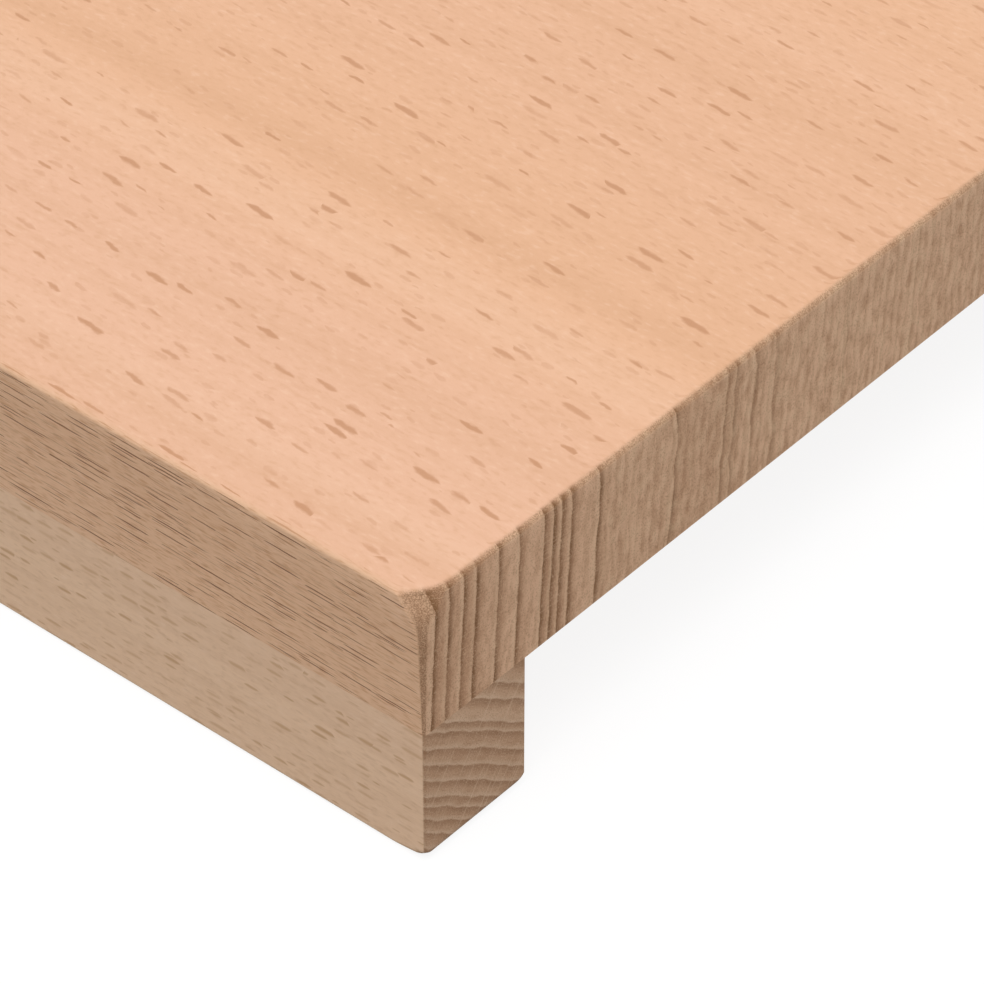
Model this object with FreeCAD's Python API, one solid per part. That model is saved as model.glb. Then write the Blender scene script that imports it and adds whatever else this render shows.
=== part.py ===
"""Window sill board in solid beech: a flat board with a strip glued under its front edge.

The strip makes the front look twice as thick as the board. Every arris that a hand reaches is
rounded: the top edge of the board along the front and both ends, the upright corners, and the
lower edges of the strip. The back edge, which meets the window frame, stays square.

Frame: X runs along the board, +Y points to the back edge, +Z is up. The origin is the middle of
the footprint, level with the underside of the strip. All sizes are in millimetres.
"""

import FreeCAD
import Part

import os

# Driving dimensions of the board
board_length = 1000.0
board_depth = 250.0
board_thickness = 20.0

# Driving dimensions of the strip, which is as long as the board and flush with its front and ends
strip_width = 18.0
strip_height = 20.0

# Roundings of the board
top_edge_radius = 1.2
corner_foot_radius = 0.8
corner_top_radius = 1.5
underside_end_radius = 0.5

# Roundings of the strip
strip_front_radius = 0.8
strip_back_radius = 1.8
strip_end_radius = 2.0
strip_corner_radius = 0.3

# Places that follow from the sizes
right_x = board_length / 2
front_y = -board_depth / 2
back_y = board_depth / 2
strip_back_y = front_y + strip_width
glue_z = strip_height
top_z = strip_height + board_thickness

# Slack for telling which plane an edge lies in
near = 0.01


def rounded_wire(corners, radii):
    """Closed outline through right-angled corners, each rounded by its own radius."""
    arcs = []
    starts = []
    ends = []
    for i, corner in enumerate(corners):
        to_last = (corners[i - 1] - corner).normalize()
        to_next = (corners[(i + 1) % len(corners)] - corner).normalize()
        start = corner + to_last * radii[i]
        end = corner + to_next * radii[i]
        middle = corner + (to_last + to_next) * (radii[i] * (1 - 0.5 ** 0.5))
        starts.append(start)
        ends.append(end)
        if radii[i] > 0:
            arcs.append(Part.Arc(start, middle, end).toShape())
        else:
            arcs.append(None)
    ring = []
    for i, arc in enumerate(arcs):
        if arc is not None:
            ring.append(arc)
        ring.append(Part.LineSegment(ends[i], starts[(i + 1) % len(starts)]).toShape())
    return Part.Wire(ring)


# Board: a plain slab
board_corner = FreeCAD.Vector(-right_x, front_y, glue_z)
board = Part.makeBox(board_length, board_depth, board_thickness, board_corner)

# Upright front corners, rounded a little at the glue line and more at the top
upright_edges = []
for edge in board.Edges:
    box = edge.BoundBox
    if box.ZLength > board_thickness - near and box.YMax < front_y + near:
        upright_edges.append(edge)
board = board.makeFillet(corner_foot_radius, corner_top_radius, upright_edges)

# Rounded top edge along the front, round both corners and along both ends, but not at the back
top_edges = []
for edge in board.Edges:
    box = edge.BoundBox
    if box.ZMin > top_z - near and box.YMin < back_y - near:
        top_edges.append(edge)
board = board.makeFillet(top_edge_radius, top_edges)

# Eased lower edge of each end, from the back of the strip to the back of the board
for side in (-1, 1):
    end_x = side * right_x
    inner_x = side * (right_x - underside_end_radius)
    arc_top_z = glue_z + underside_end_radius
    arc_reach = underside_end_radius * 0.5 ** 0.5
    arc_start = FreeCAD.Vector(end_x, strip_back_y, arc_top_z)
    arc_middle = FreeCAD.Vector(inner_x + side * arc_reach, strip_back_y, arc_top_z - arc_reach)
    arc_end = FreeCAD.Vector(inner_x, strip_back_y, glue_z)
    arris = FreeCAD.Vector(end_x, strip_back_y, glue_z)
    waste_edges = Part.makePolygon([arc_end, arris, arc_start]).Edges
    waste_edges.append(Part.Arc(arc_start, arc_middle, arc_end).toShape())
    waste_face = Part.Face(Part.Wire(waste_edges))
    waste = waste_face.extrude(FreeCAD.Vector(0, back_y - strip_back_y, 0))
    board = board.cut(waste)

# Strip: what is common to its rounded cross section, front view and plan view
section_outline = rounded_wire(
    [
        FreeCAD.Vector(-right_x, front_y, 0),
        FreeCAD.Vector(-right_x, strip_back_y, 0),
        FreeCAD.Vector(-right_x, strip_back_y, glue_z),
        FreeCAD.Vector(-right_x, front_y, glue_z),
    ],
    [strip_front_radius, strip_back_radius, 0, 0],
)
section_body = Part.Face(section_outline).extrude(FreeCAD.Vector(board_length, 0, 0))
front_outline = rounded_wire(
    [
        FreeCAD.Vector(-right_x, front_y, 0),
        FreeCAD.Vector(right_x, front_y, 0),
        FreeCAD.Vector(right_x, front_y, glue_z),
        FreeCAD.Vector(-right_x, front_y, glue_z),
    ],
    [strip_end_radius, strip_end_radius, 0, 0],
)
front_body = Part.Face(front_outline).extrude(FreeCAD.Vector(0, strip_width, 0))
plan_outline = rounded_wire(
    [
        FreeCAD.Vector(-right_x, front_y, 0),
        FreeCAD.Vector(right_x, front_y, 0),
        FreeCAD.Vector(right_x, strip_back_y, 0),
        FreeCAD.Vector(-right_x, strip_back_y, 0),
    ],
    [strip_corner_radius, strip_corner_radius, 0, 0],
)
plan_body = Part.Face(plan_outline).extrude(FreeCAD.Vector(0, 0, strip_height))
strip = section_body.common(front_body).common(plan_body).Solids[0]

# The glued area is marked off on the underside of the board, so the rest is a face of its own
pieces, piece_map = board.Solids[0].generalFuse([strip])
board = piece_map[0][0].Solids[0]

for name, solid in (("sill_board", board), ("front_strip", strip)):
    box = solid.optimalBoundingBox(False)
    print(name, "valid", solid.isValid(), "volume cm3", round(solid.Volume / 1000, 2))
    print("  size mm", round(box.XLength, 3), round(box.YLength, 3), round(box.ZLength, 3))

os.makedirs("parts", exist_ok=True)
board.exportStep("parts/sill_board.step")
strip.exportStep("parts/front_strip.step")
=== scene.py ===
# %% [markdown]
# A window sill board of solid beech. The real one is two pieces of wood: a flat board, and a
# strip glued flush under its front edge so that the front looks twice as thick. Its looks come
# from two things, the wood itself and softly rounded edges, so the lesson first grows a solid
# block of beech for each piece, and then models the two pieces with true roundings.

# %% Load the measured frame
import math
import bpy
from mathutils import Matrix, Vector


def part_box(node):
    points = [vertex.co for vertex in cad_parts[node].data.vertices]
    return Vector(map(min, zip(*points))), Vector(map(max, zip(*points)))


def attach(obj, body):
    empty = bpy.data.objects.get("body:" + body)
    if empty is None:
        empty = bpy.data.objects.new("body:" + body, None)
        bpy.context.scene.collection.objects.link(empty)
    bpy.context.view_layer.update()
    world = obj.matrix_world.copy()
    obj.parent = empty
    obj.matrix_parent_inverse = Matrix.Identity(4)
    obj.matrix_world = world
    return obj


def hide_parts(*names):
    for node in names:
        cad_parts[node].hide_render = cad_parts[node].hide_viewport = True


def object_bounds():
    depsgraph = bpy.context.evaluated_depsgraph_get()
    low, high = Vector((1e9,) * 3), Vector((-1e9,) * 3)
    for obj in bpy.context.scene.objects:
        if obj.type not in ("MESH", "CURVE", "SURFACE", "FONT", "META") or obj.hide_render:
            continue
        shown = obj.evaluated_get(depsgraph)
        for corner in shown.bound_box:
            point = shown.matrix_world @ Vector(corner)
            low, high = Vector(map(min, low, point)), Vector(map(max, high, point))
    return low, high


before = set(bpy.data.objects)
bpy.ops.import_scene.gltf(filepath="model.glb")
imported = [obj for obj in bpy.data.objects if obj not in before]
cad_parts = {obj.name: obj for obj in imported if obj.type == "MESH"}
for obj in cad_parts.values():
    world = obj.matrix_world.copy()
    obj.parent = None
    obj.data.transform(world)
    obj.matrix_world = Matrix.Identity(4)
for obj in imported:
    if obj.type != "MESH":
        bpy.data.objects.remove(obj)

from types import SimpleNamespace

import bmesh
import bpy
from mathutils import Vector

MM = 0.001
cad_low, cad_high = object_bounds()
board_low, board_high = (Vector(corner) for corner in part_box("sill_board"))
strip_low, strip_high = (Vector(corner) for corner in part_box("front_strip"))
print("board mm", [round(side / MM, 2) for side in board_high - board_low])
print("strip mm", [round(side / MM, 2) for side in strip_high - strip_low])

# %% [markdown]
# The photograph is a close view of one corner, taken from far away with a long lens, so the
# edges stay nearly parallel. The camera stands to the right of the front and looks down at 40
# degrees. Its place is given from the near lower corner of the strip, which the picture shows.

# %% Camera at the photograph's angle
LENS_MM = 187.5
SENSOR_MM = 36.0
CLIP_NEAR = 0.01
CLIP_FAR = 100.0
CAMERA_FROM_CORNER_MM = Vector((282.5, -318.8, 417.7))
LOOK_DOWN_DEG = 40.30
LOOK_ROUND_DEG = 40.51

near_corner = Vector((strip_high.x, strip_low.y, strip_low.z))
camera_data = bpy.data.cameras.new("camera")
camera_data.lens = LENS_MM
camera_data.sensor_width = SENSOR_MM
camera_data.clip_start = CLIP_NEAR
camera_data.clip_end = CLIP_FAR
camera = bpy.data.objects.new("camera", camera_data)
camera.location = near_corner + CAMERA_FROM_CORNER_MM * MM
camera.rotation_euler = (math.radians(90 - LOOK_DOWN_DEG), 0, math.radians(LOOK_ROUND_DEG))
bpy.context.collection.objects.link(camera)
scene = bpy.context.scene
scene.camera = camera
scene.view_settings.view_transform = "Standard"
print("camera mm", [round(value / MM, 1) for value in camera.location])

# %% [markdown]
# Every material below is a small network of nodes. One helper adds a node, sets its options,
# and fills its inputs: a plain value is typed in, and another node's output is linked. Colours
# are written as hex values, as a paint program shows them, and turned to linear light once.

# %% Helpers for materials
WHITE = "FFFFFF"


def add(tree, kind, inputs=None, output=0, **options):
    """Adds a shader node with its options and inputs, and returns one of its outputs."""
    node = tree.nodes.new("ShaderNode" + kind)
    for option, value in options.items():
        setattr(node, option, value)
    for key, value in (inputs or {}).items():
        if isinstance(value, bpy.types.NodeSocket):
            tree.links.new(value, node.inputs[key])
        else:
            node.inputs[key].default_value = value
    return node.outputs[output]


def linear(hex_colour):
    """A hex sRGB colour such as C8A078 as linear red, green, blue and alpha."""
    channels = [int(hex_colour[i:i + 2], 16) / 255 for i in (0, 2, 4)]
    bent = [c / 12.92 if c <= 0.04045 else ((c + 0.055) / 1.055) ** 2.4 for c in channels]
    return (*bent, 1.0)


def new_material(name):
    """An empty node material and its tree."""
    material = bpy.data.materials.new(name)
    material.use_nodes = True
    material.node_tree.nodes.clear()
    return material, material.node_tree


print("mid grey 808080 is", round(linear("808080")[0], 3), "in linear light")

# %% [markdown]
# A studio table: a white paper floor and a white surround. A white floor throws much light up at
# the wood, and in the photograph little comes from below. So the floor and the surround are white
# to the eye and in gloss, but darker for the light that they give to the wood. Part of the
# floor's white is a glow of its own, which keeps the shadow on it soft and pale. A smaller glow
# stays in the light that it gives, so that the wood just above it doesn't sink into the dark.

# %% Floor
FLOOR_REACH = 15.0
FLOOR_SEEN = "747474"
FLOOR_GLOW = 0.86
FLOOR_BOUNCE = "5A5958"
FLOOR_BOUNCE_GLOW = 0.16


def seen_directly(tree):
    """One for rays of the eye, of gloss and of glass, zero for rays that gather light."""
    camera_ray = add(tree, "LightPath", output="Is Camera Ray")
    paths = camera_ray.node.outputs
    either = add(tree, "Math", {0: camera_ray, 1: paths["Is Glossy Ray"]}, operation="MAXIMUM")
    return add(tree, "Math", {0: either, 1: paths["Is Transmission Ray"]}, operation="MAXIMUM")


floor_finish, tree = new_material("matt white paper floor")
white = add(tree, "BsdfDiffuse", {"Color": linear(FLOOR_SEEN)})
glow = add(tree, "Emission", {"Color": linear(WHITE), "Strength": FLOOR_GLOW})
seen = add(tree, "AddShader", {0: white, 1: glow})
dull = add(tree, "BsdfDiffuse", {"Color": linear(FLOOR_BOUNCE)})
dull_glow = add(tree, "Emission", {"Color": linear(WHITE), "Strength": FLOOR_BOUNCE_GLOW})
felt = add(tree, "AddShader", {0: dull, 1: dull_glow})
upper_side = add(tree, "MixShader", {0: seen_directly(tree), 1: felt, 2: seen})
clear = add(tree, "BsdfTransparent")
from_below = add(tree, "NewGeometry", output="Backfacing")
both_sides = add(tree, "MixShader", {0: from_below, 1: upper_side, 2: clear})
add(tree, "OutputMaterial", {"Surface": both_sides}, output=slice(0))

mesh = bpy.data.meshes.new("floor")
bm = bmesh.new()
bmesh.ops.create_grid(bm, x_segments=1, y_segments=1, size=FLOOR_REACH)
bmesh.ops.translate(bm, vec=(0, 0, cad_low.z), verts=bm.verts)
bm.to_mesh(mesh)
bm.free()
mesh.materials.append(floor_finish)
floor = bpy.data.objects.new("floor", mesh)
bpy.context.collection.objects.link(floor)
print("floor reaches", FLOOR_REACH, "m to each side at height", round(cad_low.z, 4))

# %% Surround
SURROUND_LIGHT = 0.74

world = bpy.data.worlds.new("white surround")
world.use_nodes = True
tree = world.node_tree
tree.nodes.clear()
brightness = {"Value": seen_directly(tree), "To Min": SURROUND_LIGHT, "To Max": 1.0}
strength = add(tree, "MapRange", brightness)
surround = add(tree, "Background", {"Color": linear(WHITE), "Strength": strength})
add(tree, "OutputWorld", {"Surface": surround}, output=slice(0))
scene.world = world
print("surround lights the wood with", SURROUND_LIGHT, "of the white that the eye sees")

# %% [markdown]
# The top of the board is the brightest face, the front and the end are about alike, and no edge
# between them catches light. So most of the light comes from all round, and one wide lamp, high
# overhead and only a little to the front and right, adds to the top.

# %% Lamp
LAMP_PLACE = Vector((0.9, -0.7, 3.2))
LAMP_SIDE = 2.6
LAMP_POWER = 48.0

lamp_data = bpy.data.lights.new("softbox", "AREA")
lamp_data.shape = "SQUARE"
lamp_data.size = LAMP_SIDE
lamp_data.energy = LAMP_POWER
lamp = bpy.data.objects.new("softbox", lamp_data)
lamp.location = LAMP_PLACE
lamp.rotation_euler = (-LAMP_PLACE).to_track_quat("-Z", "Y").to_euler()
bpy.context.collection.objects.link(lamp)
print("lamp", round(LAMP_PLACE.length, 2), "m away")

# %% [markdown]
# Beech is grown as a solid: every point of a piece has a place along the trunk, a depth below
# the bark side and a way round the pith. All that shows on a face follows from those three. The
# yearly rings follow the depth. The rays, thin plates of cells that run from the pith outwards,
# show as fine dark dashes where a face cuts square across them, as wider brown lenses where it
# lies more along them, and as light lines on the end grain. Pores are short tubes along the trunk.

# %% Place in the trunk
# How far round the trunk the fibres wind for each millimetre along it
SPIRAL = 0.0129


def trunk_place(tree, wood):
    """A point's place in the trunk in millimetres, and how its face lies to rays and fibres."""
    point = add(tree, "TexCoord", output="Object")
    facing = point.node.outputs["Normal"]
    in_mm = add(tree, "VectorMath", {0: point, "Scale": 1 / MM}, operation="SCALE")
    from_pith = add(tree, "VectorMath", {0: in_mm, 1: (0, *wood.pith)}, operation="SUBTRACT")
    parts = add(tree, "SeparateXYZ", {0: from_pith}).node.outputs
    across = add(tree, "VectorMath", {0: from_pith, 1: (0, 1, 1)}, operation="MULTIPLY")
    radius = add(tree, "VectorMath", {0: across}, output="Value", operation="LENGTH")
    rim_radius = math.dist(wood.pith, wood.rim)
    depth = add(tree, "Math", {0: rim_radius, 1: radius}, operation="SUBTRACT")
    mirrored = add(tree, "Math", {0: parts["Y"], 1: -1.0}, operation="MULTIPLY")
    angle = add(tree, "Math", {0: parts["Z"], 1: mirrored}, operation="ARCTAN2")
    round_way = add(tree, "Math", {0: angle, 1: rim_radius}, operation="MULTIPLY")
    wound = add(tree, "Math", {0: parts["X"], 1: SPIRAL, 2: round_way}, operation="MULTIPLY_ADD")
    grain = add(tree, "CombineXYZ", {"X": parts["X"], "Y": depth, "Z": wound})
    outward = add(tree, "VectorMath", {0: across}, operation="NORMALIZE")
    squareness = add(tree, "VectorMath", {0: facing, 1: outward}, output="Value",
                     operation="DOT_PRODUCT")
    squareness = add(tree, "Math", {0: squareness}, operation="ABSOLUTE")
    along_x = add(tree, "SeparateXYZ", {0: facing}, output="X")
    endness = add(tree, "Math", {0: along_x}, operation="ABSOLUTE")
    return SimpleNamespace(grain=grain, depth=depth, wound=wound, squareness=squareness,
                           endness=endness)


print("fibres wind round the trunk by", round(math.degrees(math.atan(SPIRAL)), 2), "degrees")

# %% [markdown]
# Most patterns of the wood are clouds: a soft noise with its own size in each direction of the
# trunk. Drawn out along the trunk, the same noise makes streaks or pores. Real pores are finer
# than a pixel here, so they are drawn coarser than life, as coarse as they need to show.

# %% Clouds
# Size in millimetres along, into and around the trunk, octaves of finer noise, and seed shift
CLOUDS = {
    "wobble": ((1.8, 1.2, 9.0), 2, 0),
    "pores": ((1.6, 0.2, 0.2), 0, 0),
    "cut pores": ((0.3, 0.2, 0.2), 0, 3),
    "opened pores": ((0.16, 0.13, 0.13), 0, 0),
    "speckle": ((1.5, 0.6, 0.5), 1, 0),
    "streaks": ((160, 6.0, 6.0), 0, 0),
    "drift": ((420, 45, 45), 0, 0),
    "bands": ((700, 1.1, 60), 0, 0),
    "growth": ((900, 9.0, 70), 1, 6),
    "slow wave": ((300, 60, 30), 0, 0),
    "scallop": ((25, 2.5, 2.2), 0, 0),
    "crumple": ((60, 2.5, 4.5), 0, 4),
    "line strength": ((40, 1.5, 4.0), 0, 2),
    "mottle": ((30, 1.0, 3.0), 1, 0),
    "patch": ((40, 1.3, 2.4), 0, 1),
}


def cloud(tree, place, wood, name):
    """One of the named soft noises, with the place in the trunk counted in its sizes."""
    size_mm, octaves, seed_shift = CLOUDS[name]
    shrink = [1 / side for side in size_mm]
    seed = wood.seed + seed_shift
    cells = add(tree, "VectorMath", {0: place.grain, 1: shrink, 2: (seed, seed, seed)},
                operation="MULTIPLY_ADD")
    return add(tree, "TexNoise", {"Vector": cells, "Scale": 1.0, "Detail": octaves})


print(len(CLOUDS), "clouds, the finest", min(min(size_mm) for size_mm, _, _ in CLOUDS.values()), "mm")

# %% [markdown]
# A ray is a lens shaped plate, one to each cell of a cell pattern, and each draws its own size and
# darkness. A cell pattern gives every cell a middle point, and a place within the cell is measured
# from there, in half sizes of the plate.

# %% Plates
RAY_SCATTER = 0.85
RAY_SIZES = (0.45, 1.2)
RAY_FAINTEST = 0.3


def plates(tree, grain, seed, cell, half, shape, core):
    """Plates with the given half sizes in millimetres along, into and around the trunk."""
    shrink = [1 / side for side in cell]
    cells = add(tree, "VectorMath", {0: grain, 1: shrink, 2: (seed, seed, seed)},
                operation="MULTIPLY_ADD")
    middle = add(tree, "TexVoronoi", {"Vector": cells, "Scale": 1.0, "Randomness": RAY_SCATTER},
                 output="Position")
    luck = add(tree, "SeparateColor", {0: middle.node.outputs["Color"]}).node.outputs
    size = add(tree, "MapRange", {"Value": luck[0], "To Min": RAY_SIZES[0], "To Max": RAY_SIZES[1]})
    offset = add(tree, "VectorMath", {0: cells, 1: middle}, operation="SUBTRACT")
    stretch = [side / reach for side, reach in zip(cell, half)]
    offset = add(tree, "VectorMath", {0: offset, 1: stretch}, operation="MULTIPLY")
    offset = add(tree, "VectorMath", {0: offset, 1: size}, operation="DIVIDE")
    offset = add(tree, "VectorMath", {0: offset, 1: shape}, operation="DIVIDE")
    flat = add(tree, "VectorMath", {0: offset, 1: (1, 1, 0)}, operation="MULTIPLY")
    flat = add(tree, "VectorMath", {0: flat, 1: flat}, output="Value", operation="DOT_PRODUCT")
    flat = add(tree, "Math", {0: flat, 1: flat}, operation="MULTIPLY")
    thick = add(tree, "SeparateXYZ", {0: offset}, output="Z")
    thick = add(tree, "Math", {0: thick}, operation="ABSOLUTE")
    reach = add(tree, "Math", {0: flat, 1: thick}, operation="ADD")
    borders = {"Value": reach, "From Min": core, "From Max": 1.0, "To Min": 1.0, "To Max": 0.0}
    inside = add(tree, "MapRange", borders, interpolation_type="SMOOTHSTEP")
    darkness = add(tree, "MapRange", {"Value": luck[1], "To Min": RAY_FAINTEST, "To Max": 1.0})
    return add(tree, "Math", {0: inside, 1: darkness}, operation="MULTIPLY")


print("plates draw", RAY_SIZES[0], "to", RAY_SIZES[1], "times their size")

# %% [markdown]
# There are broad rays, which the eye can count, and fine ones between them. All of them wobble a
# little, which frays the outline of the lenses on the top. How long, how thick and how soft a ray
# looks depends on how square the face cuts it.

# %% Broad and fine rays
RAY_WOBBLE_MM = 0.055
RAY_LENGTHS = (0.85, 1.4)
RAY_THICKNESSES = (1.2, 1.25)
FINE_RAY_CELL_MM = (4.0, 8.0, 0.26)
FINE_RAY_HALF_MM = (1.3, 4.0, 0.05)
FINE_RAY_CORE = 0.3
FINE_RAY_SEED_SHIFT = 5


def rays(tree, place, wood):
    """The broad and the fine rays of a piece."""
    sway = {"Value": cloud(tree, place, wood, "wobble"), "To Min": -RAY_WOBBLE_MM,
            "To Max": RAY_WOBBLE_MM}
    shift = add(tree, "CombineXYZ", {"Z": add(tree, "MapRange", sway)})
    frayed = add(tree, "VectorMath", {0: place.grain, 1: shift}, operation="ADD")
    length, thickness, core = [
        add(tree, "MapRange", {"Value": place.squareness, "To Min": along, "To Max": square})
        for along, square in (RAY_LENGTHS, RAY_THICKNESSES, wood.ray_cores)
    ]
    shape = add(tree, "CombineXYZ", {"X": length, "Y": 1.0, "Z": thickness})
    broad = plates(tree, frayed, wood.ray_seed, wood.ray_cell, wood.ray_half, shape, core)
    fine = plates(tree, frayed, wood.ray_seed + FINE_RAY_SEED_SHIFT, FINE_RAY_CELL_MM,
                  FINE_RAY_HALF_MM, shape, FINE_RAY_CORE)
    return broad, fine


print("a fine ray is about", 2 * FINE_RAY_HALF_MM[2], "mm thick")

# %% [markdown]
# Each year ends in a thin layer of dark late wood, and the place of that line is given as a depth
# below the rim. To find a point's own year, its depth is compared with one line after the other,
# and each line that it has passed moves its year on by one.

# %% Year lines
LINE_BLUR_MM = 0.12


def years(tree, depth, lines):
    """How deep a point lies inside its year's dark line, how far before the next, and a tone."""
    widths = [inner - outer for outer, inner in zip(lines, lines[1:])]
    widths.append(max(widths))
    own_line = lines[0]
    own_width = widths[0]
    steepness = 0.5 / LINE_BLUR_MM
    for line, before, width in zip(lines[1:], widths, widths[1:]):
        step = {0: depth, 1: steepness, 2: 0.5 - line * steepness}
        passed = add(tree, "Math", step, operation="MULTIPLY_ADD", use_clamp=True)
        own_line = add(tree, "Math", {0: passed, 1: before, 2: own_line}, operation="MULTIPLY_ADD")
        wider = {0: passed, 1: width - before, 2: own_width}
        own_width = add(tree, "Math", wider, operation="MULTIPLY_ADD")
    inside = add(tree, "Math", {0: depth, 1: own_line}, operation="SUBTRACT")
    inside = add(tree, "Math", {0: inside, 1: widths[-1]}, operation="MODULO")
    to_next = add(tree, "Math", {0: own_width, 1: inside}, operation="SUBTRACT")
    tone = add(tree, "TexNoise", {"W": own_line, "Scale": 1.0, "Detail": 0.0}, noise_dimensions="1D")
    return inside, to_next, tone


print("one year blends into the next over", 2 * LINE_BLUR_MM, "mm")

# %% [markdown]
# The lines aren't true circles: they lean, wave slowly along the trunk, are scalloped between the
# rays and fuzzy at the pores. Near the rim they are clear. Deep in the trunk they crumple and
# fade, and the years there are too narrow to be told apart.

# %% Uneven rings
SLOW_WAVE_MM = 0.29
PORE_FUZZ_MM = 0.06
CRUMPLE_MM = 0.57
CLEAR_TO_MM = 26.0
CRUMPLED_FROM_MM = 34.0
FADED_FROM_MM = 90.0
FADED_TO = 0.2
LINE_CORE_MM = 0.05
LINE_EDGE_MM = 1.3
LATE_WOOD_MM = 2.4
FAINT_LEVEL = 0.2
STRONG_LEVEL = 0.8
FAINTEST_LINE = 0.5


def waved_depth(tree, place, wood, cut_pores, deep):
    """The depth below the rim as the uneven rings count it."""
    leaning = add(tree, "Math", {0: place.wound, 1: wood.lean_from}, operation="SUBTRACT")
    waved = add(tree, "Math", {0: leaning, 1: wood.lean, 2: place.depth}, operation="MULTIPLY_ADD")
    slow_wave = cloud(tree, place, wood, "slow wave")
    scallop = cloud(tree, place, wood, "scallop")
    shifts = ((slow_wave, SLOW_WAVE_MM), (scallop, wood.scallops), (cut_pores, PORE_FUZZ_MM))
    for pattern, most in shifts:
        shift = add(tree, "MapRange", {"Value": pattern, "To Min": -most, "To Max": most})
        waved = add(tree, "Math", {0: waved, 1: shift}, operation="ADD")
    crumple = {"Value": cloud(tree, place, wood, "crumple"), "To Min": -CRUMPLE_MM, "To Max": CRUMPLE_MM}
    crumple = add(tree, "MapRange", crumple)
    return add(tree, "Math", {0: crumple, 1: deep, 2: waved}, operation="MULTIPLY_ADD")


def rings(tree, place, wood, cut_pores):
    """All that the yearly rings give to the end grain."""
    deep = add(tree, "MapRange", {"Value": place.depth, "From Min": CLEAR_TO_MM,
                                  "From Max": CRUMPLED_FROM_MM})
    waved = waved_depth(tree, place, wood, cut_pores, deep)
    inside, to_next, tone = years(tree, waved, wood.year_lines)
    fading = {"Value": place.depth, "From Min": CLEAR_TO_MM, "From Max": FADED_FROM_MM,
              "To Min": 1.0, "To Max": FADED_TO}
    fade = add(tree, "MapRange", fading)
    across_line = {"Value": inside, "From Min": LINE_CORE_MM, "From Max": LINE_EDGE_MM,
                   "To Min": 1.0, "To Max": 0.0}
    line = add(tree, "MapRange", across_line, interpolation_type="SMOOTHSTEP")
    strength = {"Value": cloud(tree, place, wood, "line strength"), "From Min": FAINT_LEVEL,
                "From Max": STRONG_LEVEL, "To Min": FAINTEST_LINE}
    line = add(tree, "Math", {0: line, 1: add(tree, "MapRange", strength)}, operation="MULTIPLY")
    line = add(tree, "Math", {0: line, 1: fade}, operation="MULTIPLY")
    late_wood = {"Value": inside, "From Max": LATE_WOOD_MM, "To Min": 1.0, "To Max": 0.0}
    late_wood = add(tree, "MapRange", late_wood)
    late_wood = add(tree, "Math", {0: late_wood, 1: fade}, operation="MULTIPLY")
    return SimpleNamespace(deep=deep, waved=waved, inside=inside, to_next=to_next, tone=tone,
                           line=line, late_wood=late_wood)


print("year lines are clear to", CLEAR_TO_MM, "mm deep, and crumpled from", CRUMPLED_FROM_MM, "mm")

# %% [markdown]
# Colours are laid over each other as a painter glazes: each pattern, where it rises from one level
# to another, lets a part of its own colour through. On the side grain the ground drifts between
# pink and yellow, with streaks, a fine speckle and pores, and the rays come last.

# %% Colour of the side grain
DASHES_FROM = 0.93
PORES_FROM = 0.5
PORES_FULL = 0.8


def glazed(tree, wood, colour, layers):
    """Lays colours over a colour, each given by pattern, two levels, greatest share and name."""
    for pattern, low, high, most, paint in layers:
        levels = {"Value": pattern, "From Min": low, "From Max": high, "To Max": most}
        share = add(tree, "MapRange", levels, interpolation_type="SMOOTHSTEP")
        colour = add(tree, "Mix", {0: share, 6: colour, 7: linear(wood.colours[paint])},
                     output=2, data_type="RGBA")
    return colour


def side_grain(tree, place, wood, broad_rays, fine_rays):
    """Rays are dark dashes where the face cuts square across them, and lenses elsewhere."""
    square = add(tree, "MapRange", {"Value": place.squareness, "From Min": DASHES_FROM},
                 interpolation_type="SMOOTHSTEP")
    broad_dash = add(tree, "Math", {0: broad_rays, 1: square}, operation="MULTIPLY")
    broad_lens = add(tree, "Math", {0: broad_rays, 1: broad_dash}, operation="SUBTRACT")
    fine_dash = add(tree, "Math", {0: fine_rays, 1: square}, operation="MULTIPLY")
    fine_lens = add(tree, "Math", {0: fine_rays, 1: fine_dash}, operation="SUBTRACT")
    pores = {"Value": cloud(tree, place, wood, "pores"), "From Min": PORES_FROM, "From Max": PORES_FULL}
    pores = add(tree, "MapRange", pores)
    pores = add(tree, "Math", {0: pores, 1: place.squareness}, operation="MULTIPLY")
    growth = cloud(tree, place, wood, "growth")
    speckle = cloud(tree, place, wood, "speckle")
    return glazed(tree, wood, linear(wood.colours["pink"]), [
        (cloud(tree, place, wood, "drift"), 0.72, 0.28, 1.0, "yellow"),
        (place.squareness, 0.3, 1.0, 1.0, "outer"),
        (growth, 0.48, 0.76, 0.15, "streak"),
        (growth, 0.48, 0.24, 0.22, "light"),
        (cloud(tree, place, wood, "streaks"), 0.43, 0.87, 0.18, "streak"),
        (cloud(tree, place, wood, "bands"), 0.45, 0.70, 0.12, "streak"),
        (speckle, 0.50, 0.80, 0.30, "streak"),
        (speckle, 0.45, 0.20, 0.34, "light"),
        (pores, 0.0, 1.0, 0.8 * wood.fineness, "streak"),
        (fine_lens, 0.0, 1.0, 0.30 * wood.fineness, "lens"),
        (fine_dash, 0.0, 1.0, 0.35 * wood.fineness, "fleck"),
        (broad_lens, 0.0, 1.0, 0.8, "lens"),
        (broad_dash, 0.0, 1.0, 1.0, "fleck"),
    ])


print("rays turn to dashes within", round(math.degrees(math.acos(DASHES_FROM))), "degrees of square")

# %% [markdown]
# End grain is darker, because light sinks into the open pores. Each year there has a dark line and
# a slow fade to the next, light rays and dotted pores. Just before the next line, a pale band is a
# painted highlight on the crest of the year's ridge. Deep in the trunk the years are narrow and
# break up into a mottle.

# %% Colour of the end grain
FINE_YEAR_MM = 1.45
FINE_LINE_CORE_MM = 0.1
FINE_LINE_EDGE_MM = 0.8


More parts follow.
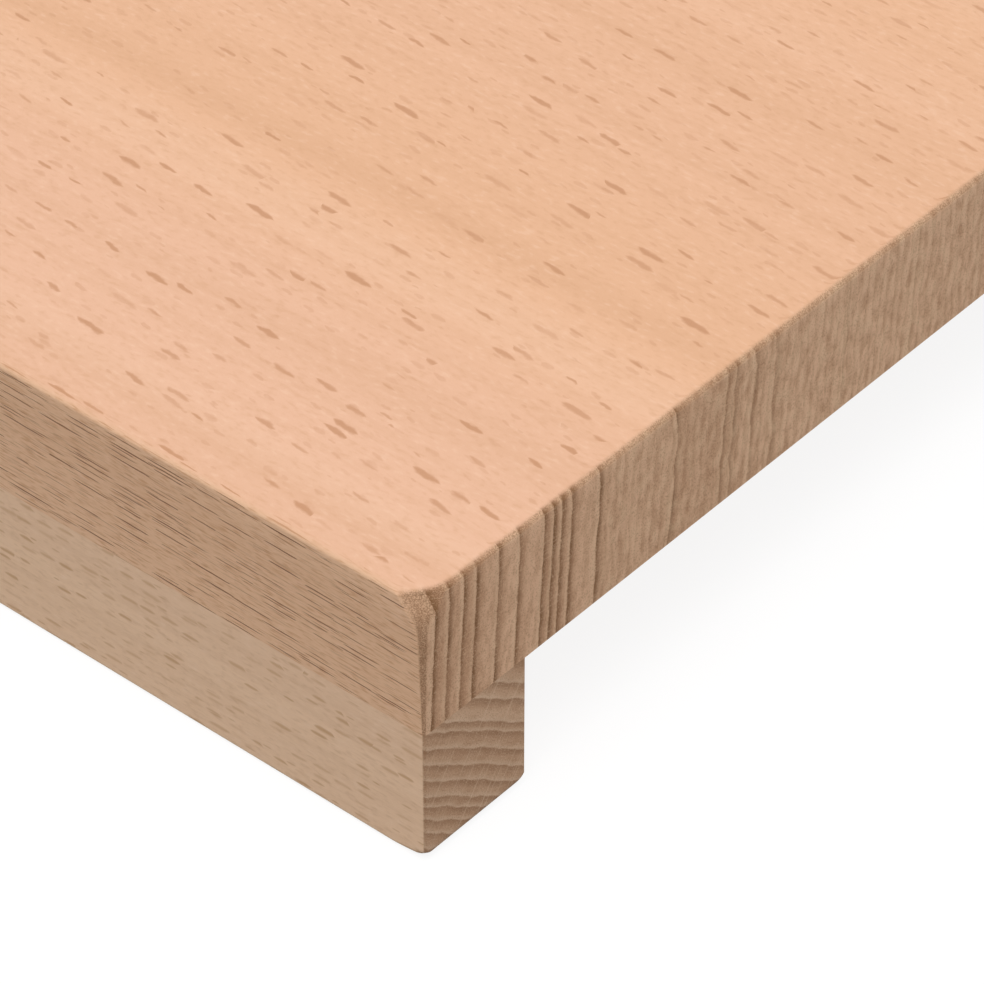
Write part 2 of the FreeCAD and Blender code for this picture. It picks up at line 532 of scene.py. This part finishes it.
def end_grain(tree, place, wood, ring, patch, cut_pores, broad_rays, fine_rays):
    """Year lines, rays and pores as a saw shows them straight across the trunk, and a painted highlight
    on each year's ridge.
    """
    fine_year = add(tree, "Math", {0: ring.waved, 1: FINE_YEAR_MM}, operation="MODULO")
    fine_line = {"Value": fine_year, "From Min": FINE_LINE_CORE_MM, "From Max": FINE_LINE_EDGE_MM,
                 "To Min": 1.0, "To Max": 0.0}
    fine_line = add(tree, "MapRange", fine_line)
    fine_line = add(tree, "Math", {0: fine_line, 1: ring.deep}, operation="MULTIPLY")
    return glazed(tree, wood, linear(wood.colours["end early"]), [
        (ring.tone, 0.3, 0.7, 0.30, "end late"),
        (ring.late_wood, 0.0, 1.0, 0.60, "end late"),
        (fine_line, 0.0, 1.0, 0.35, "end late"),
        (cloud(tree, place, wood, "mottle"), 0.40, 0.65, 0.35, "end late"),
        (ring.deep, 0.0, 1.0, 0.15, "end ray and ridge highlight"),
        (patch, 0.0, 0.3, 0.45, "end ray and ridge highlight"),
        (patch, 0.0, -0.3, 0.35, "end late"),
        # Painted highlight: a pale band just before the next line stands in for light on the crest of
        # each year's ridge.
        (ring.to_next, 0.8, 0.0, 0.45, "end ray and ridge highlight"),
        (ring.line, 0.0, 1.0, wood.line_share, "end line"),
        (cut_pores, 0.55, 0.75, 0.30, "end line"),
        (cut_pores, 0.42, 0.25, 0.35, "end ray and ridge highlight"),
        (fine_rays, 0.0, 1.0, 0.45, "end ray and ridge highlight"),
        (broad_rays, 0.0, 1.0, 0.40, "end ray and ridge highlight"),
    ])


print("deep in the trunk a year is", FINE_YEAR_MM, "mm wide")

# %% [markdown]
# A rounding that turns from side grain to end grain cuts the fibres at a slant. That opens the
# pores to small dark dots and dulls the wood, so the roundings at the ends look stippled. The
# slant is nothing on both flat faces and most half way between them. Where a rounding also cuts
# across the rays, as on the upright corners, the dots are stronger, and that extra darkening is
# painted shade on the corner roundings.

# %% Stipple on the roundings
SLANT_FROM = 0.03
SLANT_FULL = 0.18
DOTS_FROM = 0.35
DOTS_FULL = 0.65
STIPPLE_LEAST = 0.4
STIPPLE_SHARE = 0.66
STIPPLE_ALONG_RAYS = 0.7
ACROSS_RAYS_FULL_SHADE = 0.5


def stippled(tree, place, wood, colour):
    """Dots the colour where the face cuts the fibres at a slant, more where it cuts across the rays, and
    that extra is painted shade on the upright corners.
    """
    turned = add(tree, "Math", {0: place.endness, 1: place.endness}, operation="MULTIPLY")
    turned_twice = add(tree, "Math", {0: turned, 1: turned}, operation="MULTIPLY")
    slant = add(tree, "Math", {0: turned, 1: turned_twice}, operation="SUBTRACT")
    slant = add(tree, "MapRange", {"Value": slant, "From Min": SLANT_FROM, "From Max": SLANT_FULL})
    dots = {"Value": cloud(tree, place, wood, "opened pores"), "From Min": DOTS_FROM,
            "From Max": DOTS_FULL, "To Min": STIPPLE_LEAST}
    dots = add(tree, "MapRange", dots)
    dots = add(tree, "Math", {0: dots, 1: slant}, operation="MULTIPLY")
    # Painted shade: the dots are stronger across the rays, so the upright corner roundings come out
    # darker than the top roundings at the ends.
    across_rays_and_shade = add(tree, "MapRange", {"Value": place.squareness, "From Max": ACROSS_RAYS_FULL_SHADE,
                                         "To Min": STIPPLE_ALONG_RAYS})
    dots = add(tree, "Math", {0: dots, 1: across_rays_and_shade}, operation="MULTIPLY")
    return glazed(tree, wood, colour, [(dots, 0.0, 1.0, STIPPLE_SHARE * wood.fineness, "end line")])


print("stipple lets at most", STIPPLE_SHARE, "of the dark colour through")

# %% [markdown]
# One function then puts a piece of beech together. A face counts as end grain once it turns to the
# end. The relief is given in millimetres: on the end grain each year rises to a ridge and patches
# deep in the trunk stand proud, and pores lie lower everywhere. It is far too shallow to change an
# outline, so it is bump and not geometry.

# %% Beech
END_FROM = 0.15
END_FULL = 0.65
RIDGE_MM = 0.035
RIDGE_WIDTH_MM = 3.0
PATCH_MIDDLE = 0.5
PATCH_RELIEF_MM = 0.10
PORE_DEPTH_MM = 0.025
SIDE_ROUGHNESS = 0.55
END_ROUGHNESS = 0.75
WOOD_IOR = 1.45
WOOD_SPECULAR = 0.2


def relief(tree, ring, patch, cut_pores, is_end):
    """A bumped normal from the ridges, patches and pores."""
    ridge = add(tree, "MapRange", {"Value": ring.inside, "From Max": RIDGE_WIDTH_MM,
                                   "To Max": RIDGE_MM})
    shallow = add(tree, "Math", {0: 1.0, 1: ring.deep}, operation="SUBTRACT")
    ridge = add(tree, "Math", {0: ridge, 1: shallow}, operation="MULTIPLY")
    ridge = add(tree, "Math", {0: patch, 1: PATCH_RELIEF_MM, 2: ridge}, operation="MULTIPLY_ADD")
    height = add(tree, "Math", {0: ridge, 1: is_end}, operation="MULTIPLY")
    height = add(tree, "Math", {0: cut_pores, 1: -PORE_DEPTH_MM, 2: height},
                 operation="MULTIPLY_ADD")
    return add(tree, "Bump", {"Height": height, "Distance": MM, "Strength": 1.0})


def beech(name, wood):
    """Sanded solid beech: matt all over, and a little duller on the end grain."""
    material, tree = new_material(name)
    place = trunk_place(tree, wood)
    broad_rays, fine_rays = rays(tree, place, wood)
    cut_pores = cloud(tree, place, wood, "cut pores")
    ring = rings(tree, place, wood, cut_pores)
    patch = cloud(tree, place, wood, "patch")
    patch = add(tree, "Math", {0: patch, 1: PATCH_MIDDLE}, operation="SUBTRACT")
    patch = add(tree, "Math", {0: patch, 1: ring.deep}, operation="MULTIPLY")
    side = side_grain(tree, place, wood, broad_rays, fine_rays)
    end = end_grain(tree, place, wood, ring, patch, cut_pores, broad_rays, fine_rays)
    is_end = add(tree, "MapRange", {"Value": place.endness, "From Min": END_FROM,
                                    "From Max": END_FULL}, interpolation_type="SMOOTHSTEP")
    colour = add(tree, "Mix", {0: is_end, 6: side, 7: end}, output=2, data_type="RGBA")
    colour = stippled(tree, place, wood, colour)
    bump = relief(tree, ring, patch, cut_pores, is_end)
    rough = add(tree, "MapRange", {"Value": is_end, "To Min": SIDE_ROUGHNESS,
                                   "To Max": END_ROUGHNESS})
    surface = add(tree, "BsdfPrincipled", {"Base Color": colour, "Roughness": rough, "Normal": bump,
                                           "IOR": WOOD_IOR, "Specular IOR Level": WOOD_SPECULAR})
    add(tree, "OutputMaterial", {"Surface": surface}, output=slice(0))
    print(name, "has", len(tree.nodes), "nodes and", len(wood.year_lines), "dark year lines")
    return material


# %% [markdown]
# The two pieces are different cuts. The board was cut far from the pith, with its front edge to
# the bark: its rings stand nearly upright at the ends, the top shows lenses and the front
# shows dashes. Places are in millimetres, with the pith and the rim in the YZ plane. The rings
# stand a little more upright than circles round that pith would, and the lean allows for that.
# The dark year lines near the corner are placed one by one, as depths below the front.

# %% Beech of the board
BOARD_WOOD = SimpleNamespace(
    seed=3.7, ray_seed=18.9,
    pith=(770.0, -64.0), rim=(board_low.y / MM, 30.0), lean_from=100.7, lean=0.05,
    year_lines=(-3.0, 1.5, 3.9, 6.4, 8.6, 12.5, 16.1, 20.4, 22.1, 23.6, 25.4, 30.3, 44.3, 53.8,
                55.6, 59.2, 63.4),
    ray_cell=(6.0, 14.0, 0.60), ray_half=(2.6, 9.0, 0.07), ray_cores=(0.15, 0.5),
    fineness=1.0, scallops=0.13, line_share=0.80,
    colours={
        "pink": "E5B698", "yellow": "E3B390", "outer": "E8BE9B", "light": "F0C7AA",
        # The pale end colour of the rays also paints a highlight on the crest of each year's ridge.
        "streak": "CC9C76", "lens": "C08C68", "fleck": "64371A",
        "end early": "E4BA99", "end late": "AB7E5E", "end line": "74502F", "end ray and ridge highlight": "E6C29F",
    },
)
board_beech = beech("sanded solid beech, board", BOARD_WOOD)

# %% [markdown]
# The strip is paler and plainer. It comes from nearer to the pith, and its rings lie flat across
# the end in clear curves. Its front cuts the rays at a slant, so it shows short soft lenses.

# %% Beech of the strip
STRIP_WOOD = SimpleNamespace(
    seed=11.3, ray_seed=11.3,
    pith=(-228.0, -147.0), rim=(-107.0, 20.0), lean_from=0.0, lean=0.0,
    year_lines=(0.5, 3.3, 5.4, 8.3, 9.6, 11.8, 13.9, 15.9, 18.0, 19.4, 21.1, 22.9, 24.8),
    ray_cell=(3.4, 12.0, 0.85), ray_half=(1.5, 7.0, 0.26), ray_cores=(0.0, 0.0),
    fineness=0.3, scallops=0.27, line_share=0.38,
    colours={
        "pink": "EEC9AA", "yellow": "ECCAA4", "outer": "F1CEAB", "light": "F4D4BA",
        "streak": "C49C7A", "lens": "C49A72", "fleck": "6E4218",
        # The pale end colour of the rays also paints a highlight on the crest of each year's ridge.
        "end early": "D2AE90", "end late": "AE8566", "end line": "785434", "end ray and ridge highlight": "DEC0A4",
    },
)
strip_beech = beech("sanded solid beech, strip", STRIP_WOOD)

# %% [markdown]
# Each piece starts as a plain block in its own place, and its edges are then picked by where
# they lie and rounded. Picking by place keeps the code readable: an edge is named by the face
# planes that it lies in. Cuts and bevels can leave the parts of a mesh in another order on each
# run, so a finished mesh is sorted by place.

# %% Helpers for modelling
NEAR = 1e-6
SHARP_DEG = 40


def block(low, high):
    """A bmesh cube stretched from one corner to the other."""
    bm = bmesh.new()
    bmesh.ops.create_cube(bm, size=1.0)
    bmesh.ops.scale(bm, vec=high - low, verts=bm.verts)
    bmesh.ops.translate(bm, vec=(low + high) / 2, verts=bm.verts)
    return bm


def edges_in(bm, test):
    """The edges whose two ends both pass a test on their place."""
    return [edge for edge in bm.edges if all(test(vert.co) for vert in edge.verts)]


def rounded(bm, edges, radius, segments):
    """Rounds edges with a circular profile."""
    bmesh.ops.bevel(bm, geom=edges, offset=radius, offset_type="OFFSET", affect="EDGES",
                    segments=segments, profile=0.5, material=-1, clamp_overlap=True)


def cut_across(bm, place, direction):
    """Cuts every face along a plane, and keeps both sides."""
    bmesh.ops.bisect_plane(bm, geom=bm.verts[:] + bm.edges[:] + bm.faces[:], dist=NEAR,
                           plane_co=place, plane_no=direction)


def sort_by(parts, place):
    """Puts the parts of a mesh in an order that depends only on where they are."""
    order = sorted(parts, key=place)
    rank = {part: number for number, part in enumerate(order)}
    parts.sort(key=rank.get)
    parts.index_update()


def finished(name, bm, material, node):
    """Turns a bmesh into a smooth shaded piece that stands for a node of the frame."""
    bmesh.ops.remove_doubles(bm, verts=bm.verts, dist=NEAR)
    bmesh.ops.recalc_face_normals(bm, faces=bm.faces)
    sort_by(bm.verts, lambda vert: vert.co.to_tuple())
    sort_by(bm.edges, lambda edge: sorted(vert.index for vert in edge.verts))
    sort_by(bm.faces, lambda face: sorted(vert.index for vert in face.verts))
    for face in bm.faces:
        face.smooth = True
    mesh = bpy.data.meshes.new(name)
    bm.to_mesh(mesh)
    bm.free()
    mesh.set_sharp_from_angle(angle=math.radians(SHARP_DEG))
    mesh.materials.append(material)
    piece = bpy.data.objects.new(name, mesh)
    bpy.context.collection.objects.link(piece)
    shading = piece.modifiers.new("even shading", "WEIGHTED_NORMAL")
    shading.keep_sharp = True
    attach(piece, "root")
    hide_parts(node)
    print(name, "has", len(mesh.polygons), "faces")


print("edges that turn by more than", SHARP_DEG, "degrees stay sharp")

# %% [markdown]
# The board is a slab with square edges at the back, where it meets the window. Its two upright
# front corners are nearly sharp at the glue line, open a little on the way up, and flare out to a
# broad round in the top few millimetres, where sanding takes most. So they are bevelled with the
# largest radius first, the board is cut into levels, and each level's points are then drawn back
# to the corner by as much as its radius is smaller.

# %% Upright corners of the board
CORNER_FOOT_RADIUS = 0.5 * MM
CORNER_TAPER = 1.1 * MM
CORNER_FLARE = 4.6 * MM
CORNER_FLARE_START = 0.64
CORNER_FLARE_POWER = 3
CORNER_LEVELS = (CORNER_FLARE_START, 0.70, 0.76, 0.82, 0.88)
CORNER_SEGMENTS = 12

bm = block(board_low, board_high)
upright = edges_in(bm, lambda co: co.y < board_low.y + NEAR)
upright = [edge for edge in upright if abs(edge.verts[0].co.z - edge.verts[1].co.z) > NEAR]
corner_top_radius = CORNER_FOOT_RADIUS + CORNER_TAPER + CORNER_FLARE
rounded(bm, upright, corner_top_radius, CORNER_SEGMENTS)
thickness = board_high.z - board_low.z
for level in CORNER_LEVELS:
    cut_across(bm, (0, 0, board_low.z + level * thickness), (0, 0, 1))
for vert in bm.verts:
    corner = Vector((math.copysign(board_high.x, vert.co.x), board_low.y, vert.co.z))
    if (vert.co - corner).length < corner_top_radius + NEAR:
        level = (vert.co.z - board_low.z) / thickness
        flare = max(level - CORNER_FLARE_START, 0.0) / (1 - CORNER_FLARE_START)
        tapered = CORNER_FOOT_RADIUS + CORNER_TAPER * level
        radius = tapered + CORNER_FLARE * flare ** CORNER_FLARE_POWER
        vert.co = corner + (vert.co - corner) * (radius / corner_top_radius)
print("corner radius mm", CORNER_FOOT_RADIUS / MM, "to", round(corner_top_radius / MM, 2))

# %% [markdown]
# The top edge is rounded in one run along the front and both ends. On the real board this rounding
# is wider than it is deep, so it is bevelled round and then pressed flat. Underneath, the ends are
# eased from the back of the strip to the back edge, and a cut along the strip ends that rounding.

# %% Top edge and underside of the board
TOP_EDGE_REACH = 1.6 * MM
TOP_EDGE_DROP = 0.9 * MM
UNDERSIDE_END_RADIUS = 0.5 * MM
EDGE_SEGMENTS = 8
SMALL_EDGE_SEGMENTS = 4

top_run = edges_in(bm, lambda co: co.z > board_high.z - NEAR)
top_run = [edge for edge in top_run if min(vert.co.y for vert in edge.verts) < board_high.y - NEAR]
rounded(bm, top_run, TOP_EDGE_REACH, EDGE_SEGMENTS)
for vert in bm.verts:
    below_top = board_high.z - vert.co.z
    if below_top < TOP_EDGE_REACH + NEAR:
        vert.co.z = board_high.z - below_top * TOP_EDGE_DROP / TOP_EDGE_REACH

cut_across(bm, (0, strip_high.y, 0), (0, 1, 0))
under_ends = edges_in(bm, lambda co: co.z < board_low.z + NEAR and co.y > strip_high.y - NEAR
                      and abs(abs(co.x) - board_high.x) < NEAR)
rounded(bm, under_ends, UNDERSIDE_END_RADIUS, SMALL_EDGE_SEGMENTS)
finished("sill_board_beech", bm, board_beech, "sill_board")

# %% [markdown]
# The strip's lower edges are rounded by hand and all differ: most at the ends, more along the
# back than along the front, while its upright corners are nearly sharp. The lower end edges come
# first. Then the outlines of the front and of the back are bevelled with one radius. Cuts near
# the ends give that rounding the points that it needs to change along its way.

# %% Outline of the strip
STRIP_END_RADIUS = 1.75 * MM
OUTLINE_RADIUS = 1.0 * MM
STRIP_TIP_REACH = 3.5 * MM
STRIP_TIP_CUTS = 7

bm = block(strip_low, strip_high)
lower_ends = edges_in(bm, lambda co: co.z < strip_low.z + NEAR
                      and abs(abs(co.x) - strip_high.x) < NEAR)
lower_ends = [edge for edge in lower_ends if abs(edge.verts[0].co.x - edge.verts[1].co.x) < NEAR]
rounded(bm, lower_ends, STRIP_END_RADIUS, EDGE_SEGMENTS)
round_start = strip_high.x - STRIP_END_RADIUS
round_middle = strip_low.z + STRIP_END_RADIUS
for cut in range(STRIP_TIP_CUTS):
    before_round = STRIP_TIP_REACH * (1 - cut / STRIP_TIP_CUTS)
    for side in (-1, 1):
        cut_across(bm, (side * (round_start - before_round), 0, 0), (1, 0, 0))

outline = []
for front_or_back in (strip_low.y, strip_high.y):
    outline += edges_in(bm, lambda co: abs(co.y - front_or_back) < NEAR)
outline = [edge for edge in outline if min(vert.co.z for vert in edge.verts) < strip_high.z - NEAR]
upright_cuts = [edge for edge in outline
                if max(vert.co.z for vert in edge.verts) > round_middle + NEAR
                and abs(edge.verts[0].co.x) < round_start + NEAR]
outline = [edge for edge in outline if edge not in upright_cuts]
rounded(bm, outline, OUTLINE_RADIUS, EDGE_SEGMENTS)
print("outline of the strip rounded along", len(outline), "edges")

# %% [markdown]
# Near the ends the hand slips, and the front edge is rounded more. As on the board's corners, each
# point of the rounding is drawn towards the sharp edge, or away from it, by what the radius is
# there. It grows towards the tip, up to half way round the end, and falls again up the corner.

# %% Roundings of the strip
STRIP_FRONT_RADIUS = 0.8 * MM
STRIP_BACK_RADIUS = 1.8 * MM
STRIP_TIP_RADIUS = 1.7 * MM
STRIP_CORNER_RADIUS = 0.5 * MM
STRIP_TIP_TURN = math.radians(45)
STRIP_TIP_GROWTH = 1.5
# Slack that keeps the points of a mitre, which lie a little further out than the radius
MITRE = 1.02

tip_path = STRIP_TIP_REACH + STRIP_TIP_TURN * STRIP_END_RADIUS
for vert in bm.verts:
    past_start = abs(vert.co.x) - round_start
    below_middle = round_middle - vert.co.z
    spoke = Vector((max(past_start, 0.0), max(below_middle, 0.0)))
    if spoke.length < NEAR:
        continue
    turn = math.atan2(spoke.x, spoke.y)
    spoke = spoke.normalized() * STRIP_END_RADIUS
    at_front = vert.co.y < (strip_low.y + strip_high.y) / 2
    sharp = Vector((vert.co.x, strip_low.y if at_front else strip_high.y, vert.co.z))
    if past_start > 0:
        sharp.x = math.copysign(round_start + spoke.x, vert.co.x)
    if below_middle > 0:
        sharp.z = round_middle - spoke.y
    if (vert.co - sharp).length > OUTLINE_RADIUS * MITRE:
        continue
    along_path = STRIP_TIP_REACH + min(past_start, 0.0) + turn * STRIP_END_RADIUS
    growth = min(max(along_path / tip_path, 0.0), 1.0) ** STRIP_TIP_GROWTH
    lower_radius = STRIP_FRONT_RADIUS if at_front else STRIP_BACK_RADIUS
    radius = lower_radius + (STRIP_TIP_RADIUS - lower_radius) * growth
    if turn > STRIP_TIP_TURN:
        rise = (turn - STRIP_TIP_TURN) / (math.pi / 2 - STRIP_TIP_TURN)
        radius = STRIP_TIP_RADIUS + (STRIP_CORNER_RADIUS - STRIP_TIP_RADIUS) * rise
    vert.co = sharp + (vert.co - sharp) * (radius / OUTLINE_RADIUS)
finished("front_strip_beech", bm, strip_beech, "front_strip")
